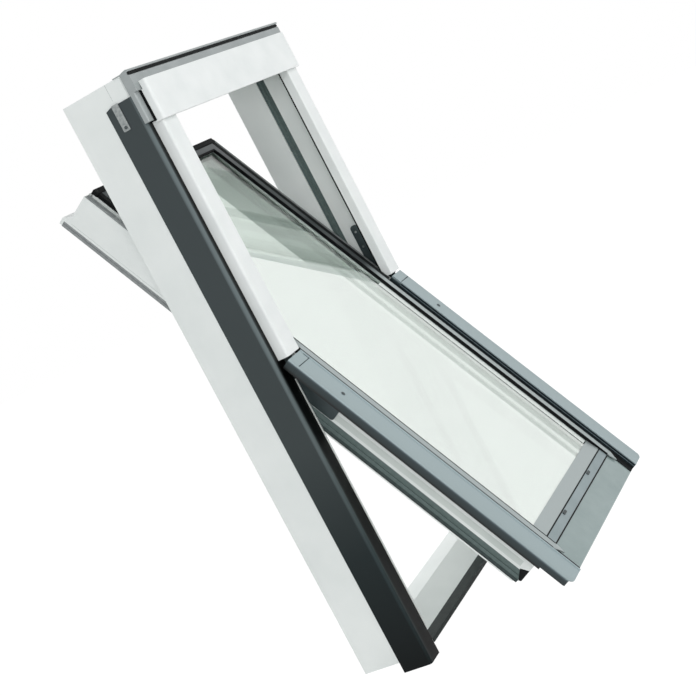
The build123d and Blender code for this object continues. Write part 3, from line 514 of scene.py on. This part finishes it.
# %% Give the solids their finishes
wears = {
    "pvc": ["left_jamb", "right_jamb", "sill", "head", "left_stile", "right_stile",
            "bottom_rail", "top_rail", "handle_bar"],
    "white_coat": ["head_cover", "upper_cover_left", "upper_cover_right"],
    "anthracite": ["sill_strip"],
    "anthracite_painted_light": ["left_cladding", "right_cladding"],
    "grey_coat": ["clamp_strip"],
    "flashing_coat": ["head_flashing", "flashing_end_left", "flashing_end_right"],
    "gloss_grey_coat": ["bottom_apron"],
    "grey_coat_painted_shade": ["lower_cover_left", "lower_cover_right", "cover_end_left",
                         "cover_end_right"],
    "bead": ["bead_left", "bead_right", "bead_bottom", "bead_top"],
    "gasket": ["glazing_seal"],
    "black_rubber": ["weather_rib", "flashing_seal"],
    "edge_sealant": ["edge_seal"],
    "mid_rubber": ["jamb_seal_left", "jamb_seal_right", "low_seal_left", "low_seal_right"],
    "grey_rubber": ["cap_seal_left", "cap_seal_right", "high_seal_left", "high_seal_right"],
    "glass": ["inner_pane"],
    "coated_glass": ["outer_pane"],
    "dark_zinc": ["cover_screws", "strip_clips", "bracket_screws"],
    "zinc": ["cladding_bracket_left", "cladding_bracket_right", "cover_rests",
             "handle_brackets", "latch_bolt", "striker_plate", "frame_hinge_screws"],
    "dark_steel": ["frame_hinge_left", "frame_hinge_right", "sash_hinge_left",
                   "sash_hinge_right"],
    "spacer": ["spacer_bar"],
}
for kind, names in wears.items():
    for name in names:
        for slot in nodes[name].material_slots:
            slot.material = finish[kind]
dressed = {name for names in wears.values() for name in names}
print("without a finish:", sorted(set(nodes) - dressed))

# %% [markdown]
# ## From the closed sash to its place at rest
# Small pieces of the sash are easiest to draw with the sash closed, in plain directions: u
# across, s up the slope and z out from the room face, in millimetres.  They could be drawn so
# and turned as objects, but a finished piece's object stays at the origin, so the turn goes
# into the points themselves.  The sash turns about the pivot line by the angle a:
# Y = Yp + cos(a) dy + sin(a) ds, and Z = Zp - sin(a) dy + cos(a) ds,
# with dy and ds the distances from the pivot line inwards and up the slope.


# %% From drawing to world
window_wide = 660.0
pivot_s, pivot_z = 594.0, 160.4
row_w = 40.0                          # the row that Y is counted from, out from the room face


def closed_frame(u, s, z):
    """Points of the fixed frame, in metres: X = u - 330, Y = 40 - z, Z = s, in millimetres."""
    u, s, z = np.broadcast_arrays(*[np.asarray(q, float) for q in (u, s, z)])
    return np.stack([u - 0.5 * window_wide, row_w - z, s], axis=-1) / 1000.0


def open_sash(u, s, z):
    """Points of the sash at rest, in metres: the turn about the pivot line given above."""
    u, s, z = np.broadcast_arrays(*[np.asarray(q, float) for q in (u, s, z)])
    dy, ds = pivot_z - z, s - pivot_s
    y = row_w - pivot_z + math.cos(opened) * dy + math.sin(opened) * ds
    height = pivot_s - math.sin(opened) * dy + math.cos(opened) * ds
    return np.stack([u - 0.5 * window_wide, y, height], axis=-1) / 1000.0


print("pivot line at rest, in metres:", open_sash(330.0, pivot_s, pivot_z))

# %% [markdown]
# ## A closed outline drawn out
# Seals, lips and lines all are one outline drawn out along a straight path, as a die does it.
# The surface has two parameters: i along the outline and t from 0 to 1 along the path, so
# P(i, t) = outline(i) + t x path.  Straight edges need t = 0 and t = 1 only, so the grid has two
# rows, and a cap closes each end.  An outline that runs the wrong way round would turn the faces
# inwards; its signed area tells, and the outline is reversed where needed.


# %% Outlines and grids
def traced(outline, clockwise=False):
    """The outline's two columns, run anticlockwise, or clockwise where that is asked.

    The signed area is half the sum of a_i b_(i+1) - a_(i+1) b_i, and anticlockwise is positive.
    """
    a, b = np.array(outline, float).T
    area = 0.5 * np.sum(a * np.roll(b, -1) - np.roll(a, -1) * b)
    return (a[::-1], b[::-1]) if (area < 0) != clockwise else (a, b)


def grid_faces(rings, around):
    """Quads between neighbouring rings of a closed grid, and a cap on the first and the last.

    Ring k holds the points around k to around k + around - 1, and a quad joins i and i + 1.
    """
    i = np.arange(around)
    j = np.roll(i, -1)
    ring = around * np.arange(rings - 1)[:, None]
    quads = np.stack([ring + i, ring + j, ring + around + j, ring + around + i], axis=-1)
    caps = [i[::-1].tolist(), (around * (rings - 1) + i).tolist()]
    return quads.reshape(-1, 4).tolist() + caps


print("faces of a box:", len(grid_faces(2, 4)))

# %% [markdown]
# ## From points to a piece
# Every piece is made the same way: its points and faces become a mesh, and it gets its finish.
# No real edge is perfectly sharp, so a small bevel rounds it where the piece is thick enough.
# Then the piece rides on a body, so that it moves with the frame or the sash.


# %% Make a piece
made_since = []


def solid(name, body, finish_name, points, faces, bevel=0.0):
    """A mesh in metres with its finish and a bevel in millimetres, riding on a body."""
    mesh = bpy.data.meshes.new(name)
    mesh.from_pydata(points.reshape(-1, 3).tolist(), [], faces)
    mesh.validate()
    made = bpy.data.objects.new(name, mesh)
    bpy.context.scene.collection.objects.link(made)
    mesh.materials.append(finish[finish_name])
    if bevel:
        edge = made.modifiers.new("edge", "BEVEL")
        edge.width = bevel / 1000.0
        edge.segments = 2
        edge.limit_method = "ANGLE"
    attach(made, body)
    made_since.append(name)
    return made


def tell():
    """Prints the pieces made since it was last called."""
    print(len(made_since), "pieces:", ", ".join(made_since))
    made_since.clear()


# %% [markdown]
# ## Bars, slabs and side patches
# The three kinds differ only in the plane of their outline.  A bar's outline lies across the
# window's slope and is drawn out along s, or it lies in (s, z) and is drawn out along u.  A slab
# has its outline in plan and a level below and above.  A side patch lies on the outer side of a
# stile or jamb.  Each lays its outline at both ends of the path and joins the two.


# %% Bars, slabs and side patches
def bar(name, finish_name, section, start, end, body="sash", along_u=False, bevel=0.25):
    """P(i, t) = section(i) in (u, z), or (s, z), with s, or u, = start + t (end - start)."""
    place = open_sash if body == "sash" else closed_frame
    a, z = traced(section, clockwise=along_u)
    ends = np.array([[start], [end]])
    points = place(ends, a, z) if along_u else place(a, ends, z)
    return solid(name, body, finish_name, points, grid_faces(2, len(a)), bevel)


def slab(name, finish_name, plan, low, high):
    """P(i, t) = plan(i) in (u, s) with z = low + t (high - low), on the sash."""
    u, s = traced(plan)
    points = open_sash(u, s, np.array([[low], [high]]))
    return solid(name, "sash", finish_name, points, grid_faces(2, len(u)), bevel=0.25)


def side_patch(name, finish_name, outline, u_low, u_high, body="sash"):
    """P(i, t) = outline(i) in (s, z) with u = u_low + t (u_high - u_low)."""
    place = open_sash if body == "sash" else closed_frame
    s, z = traced(outline)
    points = place(np.array([[u_low], [u_high]]), s, z)
    return solid(name, body, finish_name, points, grid_faces(2, len(s)))


# %% [markdown]
# ## Left and right
# Nearly all pieces come in pairs.  A mirror modifier would join a pair into one piece, and a
# negative scale would turn the faces of the right one inside out.  Here the drawing is mirrored
# before the mesh is made, u becoming 660 - u, and the signed area puts the outline the right way
# round again.


# %% Both sides
def rect(a0, a1, z0, z1):
    """The four corners of a rectangle."""
    return [(a0, z0), (a1, z0), (a1, z1), (a0, z1)]


def on_both_sides():
    """For each side its tag, and a function that moves an outline in (u, ...) to that side."""
    yield "left", lambda outline: outline
    yield "right", lambda outline: [(window_wide - u, other) for u, other in outline]


# %% [markdown]
# ## Dark lines of the clamp strip
# The clamp strip runs across the sash's lower end.  Two fine dark lines run along it.  The lower
# one is painted shade, a black strip where the strip's edge throws its shadow, and the upper one
# is black rubber in the gap between the strip and the bead.  A painted line would do from afar,
# but a raised strip also throws its own small shadow.


# %% Dark lines of the clamp strip
strip_from, strip_to = 107.3, 552.7
# Painted shade along the strip's lower edge.
bar("strip_edge_shade", "black_rubber", rect(16.6, 19.3, 152.3, 153.8), strip_from, strip_to,
    along_u=True)
bar("strip_seal_high", "black_rubber", rect(37.6, 40.4, 153.6, 154.6), strip_from, strip_to,
    along_u=True)
tell()

# %% [markdown]
# ## Inside the lower covers
# Towards the bead the grey cover's inner wall lies in shade, painted as a dark lining, and a fine
# grey line on it is a painted highlight along a ledge.  Beside the bead's lower end a black block
# is painted shade between the apron and the cover.  Each keeps one outline over its whole length,
# so a bar drawn out along the cover gives it exactly.


# %% Painted shade and highlight inside the covers
cover_low_end, cover_high_end = -41.0, 574.0
for tag, moved in on_both_sides():
    # Painted shade on the inner wall, a painted highlight on its ledge, painted shade in the
    # corner.
    bar("cover_wall_shade_" + tag, "slate_joint_and_shade", moved(rect(73.8, 75.4, 150.0, 161.6)),
        cover_low_end, cover_high_end)
    bar("ledge_highlight_" + tag, "ledge", moved(rect(75.3, 76.2, 157.2, 158.0)),
        cover_low_end + 1.0, cover_high_end, bevel=0.1)
    bar("corner_shade_block_" + tag, "black_rubber", moved(rect(75.5, 96.0, 152.3, 153.9)),
        cover_low_end, 19.0, bevel=0.5)
tell()

# %% [markdown]
# ## Plastic ends of the lower covers
# At the hinges each grey cover ends in a plastic cap.  Where sheet meets cap, and along the
# cap's inner side, the eye sees a fine dark joint.  A groove could be cut for it, but the solids
# stay as they are, so the joint is a thin dark slab about a millimetre and a half wide.


# %% Joints of the covers' ends
joint_low, joint_high = 160.2, 162.05
for tag, moved in on_both_sides():
    across = [(24.0, 576.5), (71.5, 576.5), (71.5, 577.9), (24.0, 577.9)]
    slab("cover_joint_" + tag, "slate_joint_and_shade", moved(across), joint_low, joint_high)
    upwards = [(68.6, 577.9), (70.2, 577.9), (70.2, 591.0), (68.6, 591.0)]
    slab("cover_end_line_" + tag, "slate_joint_and_shade", moved(upwards), joint_low, joint_high)
tell()

# %% [markdown]
# ## Lines on the stiles' outer sides
# The side of a stile is a busy moulding: a sealing lip with a dark edge, a shallow recess, and in
# the upper half a step.  The recess and the step are painted shade, strips greyer than the face.
# Each is a strip that stands less than a millimetre out of the stile's side, which is at u = 50.


# %% Lines on the stiles
stile_side = 50.0
seal_from, seal_to = 33.0, 554.0      # the lip runs along the sash's lower half
for tag, moved in on_both_sides():
    bar("seal_lip_" + tag, "lip_rubber",
        moved(rect(stile_side - 0.4, stile_side + 0.6, 74.2, 79.6)), seal_from, seal_to)
    bar("seal_edge_line_" + tag, "black_rubber",
        moved(rect(stile_side - 0.5, stile_side + 0.6, 73.2, 74.4)), seal_from, seal_to, bevel=0.1)
    # Painted shade: a greyer strip in the recess and a greyer line along the step.
    bar("stile_recess_shade_" + tag, "pvc_painted_shade",
        moved(rect(stile_side - 0.12, stile_side + 0.4, 105.2, 117.4)), 46.0, seal_to, bevel=0.0)
    bar("stile_step_shade_" + tag, "pvc_painted_shade",
        moved(rect(stile_side - 0.15, stile_side + 0.4, 84.4, 85.3)), 640.0, 1086.0, bevel=0.0)
tell()

# %% [markdown]
# ## Groove mouths
# The stile's groove, which takes the white cover's inner wall when the sash closes, is open at its
# lower end.  One sees into a dark mouth of four slanting sides, and its darkness is painted shade,
# a black patch.  Its shape is irregular, so it is a patch with its own outline on the stile's
# side.


# %% Groove mouths
mouth = [(27.3, 108.6), (43.4, 101.0), (32.3, 80.4), (27.3, 82.0)]
mouth_low, mouth_high = stile_side - 0.4, stile_side + 0.3
# Painted shade inside the groove's open end.
side_patch("groove_mouth_shade_left", "black_rubber", mouth, mouth_low, mouth_high)
side_patch("groove_mouth_shade_right", "black_rubber", mouth, window_wide - mouth_high,
           window_wide - mouth_low)
tell()

# %% [markdown]
# ## Lines beside the beads
# Two black lines run along each bead.  The outer one is painted shade, a black strip where the
# bead's edge throws a fine shadow, and the inner one belongs to the gasket.  Up to the hinges a
# pale strip beside it on the glass is painted light, standing in for the glass's bright look
# there.  All keep one outline over their length, so they are bars again.


# %% Lips, shade lines and light strips
glass_face = 149.0                    # the outer pane's outer face
lips_to = 1052.0
for tag, moved in on_both_sides():
    # Painted shade along the bead's outer edge.
    bar("bead_shade_line_" + tag, "black_rubber", moved(rect(86.9, 88.9, 153.0, 157.15)), 20.0, lips_to)
    bar("gasket_lip_" + tag, "black_rubber", moved(rect(104.2, 106.7, 156.2, 157.1)), 19.6,
        lips_to)
    # Painted light: a pale strip for the glass's bright look beside the gasket.
    bar("glass_light_strip_" + tag, "pale_painted_light",
        moved(rect(106.9, 121.0, glass_face + 0.03, glass_face + 0.28)), 72.0, 608.0, bevel=0.0)
tell()

# %% [markdown]
# ## Ends of the beads
# At the sash's lower corners the side beads end in a slanting point.  A plain bar would end
# square, so the point is a slab with its own outline, in the bead's finish.


# %% Ends of the beads
tip = [(88.4, 19.3), (105.0, 19.3), (105.0, 12.0), (99.5, -3.0), (96.5, 4.0), (88.4, 16.0)]
for tag, moved in on_both_sides():
    slab("bead_tip_" + tag, "bead", moved(tip), 154.2, 156.8)
tell()

# %% [markdown]
# ## Cups round the cover screws
# Round the head of each cover's screw lies a pressed cup, a round disc with a narrow chamfer.
# A cylinder from Blender's menu would do, but its chamfer would need a modifier.  Here the
# surface is a profile turned round an axis: with the angle q and three rings of radius r(k) and
# height h(k), P(k, q) = (u + r cos q, s + r sin q, h).


# %% Screw cups
def disc(name, finish_name, u, s, z, radius, height, around=24):
    """A round piece on the sash: straight to 0.6 of its height, then in by 0.4 of it."""
    q = np.linspace(0.0, 2.0 * np.pi, around, endpoint=False)
    r = np.array([[radius], [radius], [radius - 0.4 * height]])
    h = np.array([[z], [z + 0.6 * height], [z + height]])
    points = open_sash(u + r * np.cos(q), s + r * np.sin(q), h)
    return solid(name, "sash", finish_name, points, grid_faces(3, around))


cup_u, cup_s, cup_z = 45.0, 486.0, 161.3
disc("screw_cup_left", "cup_steel", cup_u, cup_s, cup_z, 4.6, 0.5)
disc("screw_cup_right", "cup_steel", window_wide - cup_u, cup_s, cup_z, 4.6, 0.5)
tell()

# %% [markdown]
# ## A seam and the lips of the fixed covers
# On the left jamb's outer side, near the head, a fine seam shows.  Under the edges of the white
# covers a black rubber lip shows as a thin dark line.  These belong to the frame, which doesn't
# turn, so their points only change from millimetres to the frame's metres.


# %% Seam and cover lips
seam = [(1148.0, 98.7), (1148.0, 99.3), (1179.5, 99.3), (1179.5, 98.7)]
side_patch("jamb_seam", "shade_line", seam, -0.12, 0.3, body="frame")
for tag, moved in on_both_sides():
    bar("upper_cover_lip_" + tag, "black_rubber", moved(rect(70.9, 72.28, 138.6, 142.6)), 606.0,
        1084.0, body="frame")
    bar("head_cover_lip_" + tag, "black_rubber", moved(rect(15.2, 16.48, 147.5, 151.8)), 1083.0,
        1142.0, body="frame")
tell()

# %% [markdown]
# ## Camera
# The camera stands where the photographer stood.  Its place and turn could be guessed by eye,
# but they were worked out from the window's own straight edges.  The three rows below are the
# picture's right, down and forward directions, written in the window's frame.  A Blender camera
# looks along its own -Z with Y up, so down and forward change their signs.  The lens follows
# from the focal length in pixels: f / 696 of the sensor's width.


# %% Camera
picture = 696                         # the picture's width in pixels
focal = 1615.2                        # the focal length in the same pixels
sensor = 36.0                         # the sensor's width in millimetres
right = np.array([0.3515721, -0.8151087, -0.4604290])
down = np.array([-0.3028828, 0.3663357, -0.8798069])
forward = np.array([0.8858098, 0.4487716, -0.1180890])
eye = np.array([-2.83849, -1.51587, 0.91096])
lens = bpy.data.cameras.new("camera")
lens.sensor_width = sensor
lens.lens = focal / picture * sensor
lens.clip_start = 0.1
lens.clip_end = 50.0
camera = bpy.data.objects.new("camera", lens)
bpy.context.scene.collection.objects.link(camera)
turn = np.eye(4)
turn[:3, 0], turn[:3, 1], turn[:3, 2], turn[:3, 3] = right, -down, -forward, eye
camera.matrix_world = Matrix(turn.tolist())
bpy.context.scene.camera = camera
print("camera", np.round(eye, 3), "lens", round(lens.lens, 2), "mm")

# %% [markdown]
# ## Surround
# The window stands in soft studio light with a bright surround.  A plain white world would also
# pour light on it from all sides and wash it out.  So the world has two strengths: rays from
# the camera, from a reflection or through the glass see plain white, and the rays that light
# the object see a weaker, slightly cool white.


# %% Surround
def plainly_seen(tree):
    """1 for camera, glossy and transmission rays, and 0 for all others."""
    rays = add(tree, "ShaderNodeLightPath")
    seen = rays.outputs["Is Camera Ray"]
    for way in ("Is Glossy Ray", "Is Transmission Ray"):
        seen = add(tree, "ShaderNodeMath", {"operation": "MAXIMUM"},
                   links={0: seen, 1: rays.outputs[way]}).outputs[0]
    return seen


world = bpy.data.worlds.new("studio")
bpy.context.scene.world = world
world.use_nodes = True
tree = world.node_tree
tree.nodes.clear()
soft = add(tree, "ShaderNodeBackground", values={"Color": chart("#F4F6F8"), "Strength": 0.62})
white = add(tree, "ShaderNodeBackground", values={"Color": chart("#FFFFFF"), "Strength": 1.0})
mix = add(tree, "ShaderNodeMixShader",
          links={0: plainly_seen(tree), 1: soft.outputs[0], 2: white.outputs[0]})
add(tree, "ShaderNodeOutputWorld", links={"Surface": mix.outputs[0]})
print("surround lights at", soft.inputs["Strength"].default_value)

# %% [markdown]
# ## Lamps
# A large lamp above the window's outer side gives the broad light on the covers, and a weaker
# one beside the camera lights the bars' outer sides.  Small lamps would draw hard shadows, and
# large ones make them soft.  A small third lamp on the room side lifts the sill, and it is
# hidden from the camera, from reflections and behind glass.


# %% Lamps
def lamp(name, spot, aim, size, watts):
    """A square soft lamp at a spot, turned so that its own -Z looks along aim - spot."""
    data = bpy.data.lights.new(name, "AREA")
    data.size = size
    data.energy = watts
    made = bpy.data.objects.new(name, data)
    bpy.context.scene.collection.objects.link(made)
    aimed = (Vector(spot) - Vector(aim)).to_track_quat("Z", "Y").to_matrix().to_4x4()
    made.matrix_world = Matrix.Translation(spot) @ aimed
    print(name, watts, "W,", size, "m wide")
    return made


middle = (0.0, -0.1, 0.6)
lamp("key_lamp", (0.6, -3.2, 2.6), middle, 2.4, 41.0)
lamp("side_lamp", (-3.2, -1.5, 1.5), middle, 1.6, 33.0)
sill_lamp = lamp("sill_lamp", (0.05, 0.45, 0.42), (0.02, -0.05, 0.02), 0.4, 2.6)
for way in ("camera", "glossy", "transmission"):
    setattr(sill_lamp, "visible_" + way, False)

# %% [markdown]
# ## Floor
# A pale painted floor catches the object's shadow, a millimetre below the lowest solid.  Like
# the surround, it shows white to the camera and in the glass: nine tenths of what those rays see
# is a plain glow, and the last tenth is the paint with its shadow.


# %% Floor
floor_z = float(solids_box[0][2]) - 0.001
reach = 12.0
corners = [(-reach, -reach, floor_z), (reach, -reach, floor_z), (reach, reach, floor_z),
           (-reach, reach, floor_z)]
mesh = bpy.data.meshes.new("floor")
mesh.from_pydata(corners, [], [(0, 1, 2, 3)])
floor = bpy.data.objects.new("floor", mesh)
bpy.context.scene.collection.objects.link(floor)
paint, tree, shader, place = new_material("floor_paint")
shader.inputs["Base Color"].default_value = chart("#F2F2F0")
shader.inputs["Roughness"].default_value = 0.9
glow = add(tree, "ShaderNodeEmission", values={"Strength": 1.1})
share = add(tree, "ShaderNodeMath", {"operation": "MULTIPLY"}, values={1: 0.9},
            links={0: plainly_seen(tree)})
mix = add(tree, "ShaderNodeMixShader",
          links={0: share.outputs[0], 1: shader.outputs[0], 2: glow.outputs[0]})
out = next(n for n in tree.nodes if n.type == "OUTPUT_MATERIAL")
tree.links.new(mix.outputs[0], out.inputs["Surface"])
mesh.materials.append(paint)
bpy.context.scene.view_settings.view_transform = "Standard"
print("floor at", round(floor_z, 4), "m")
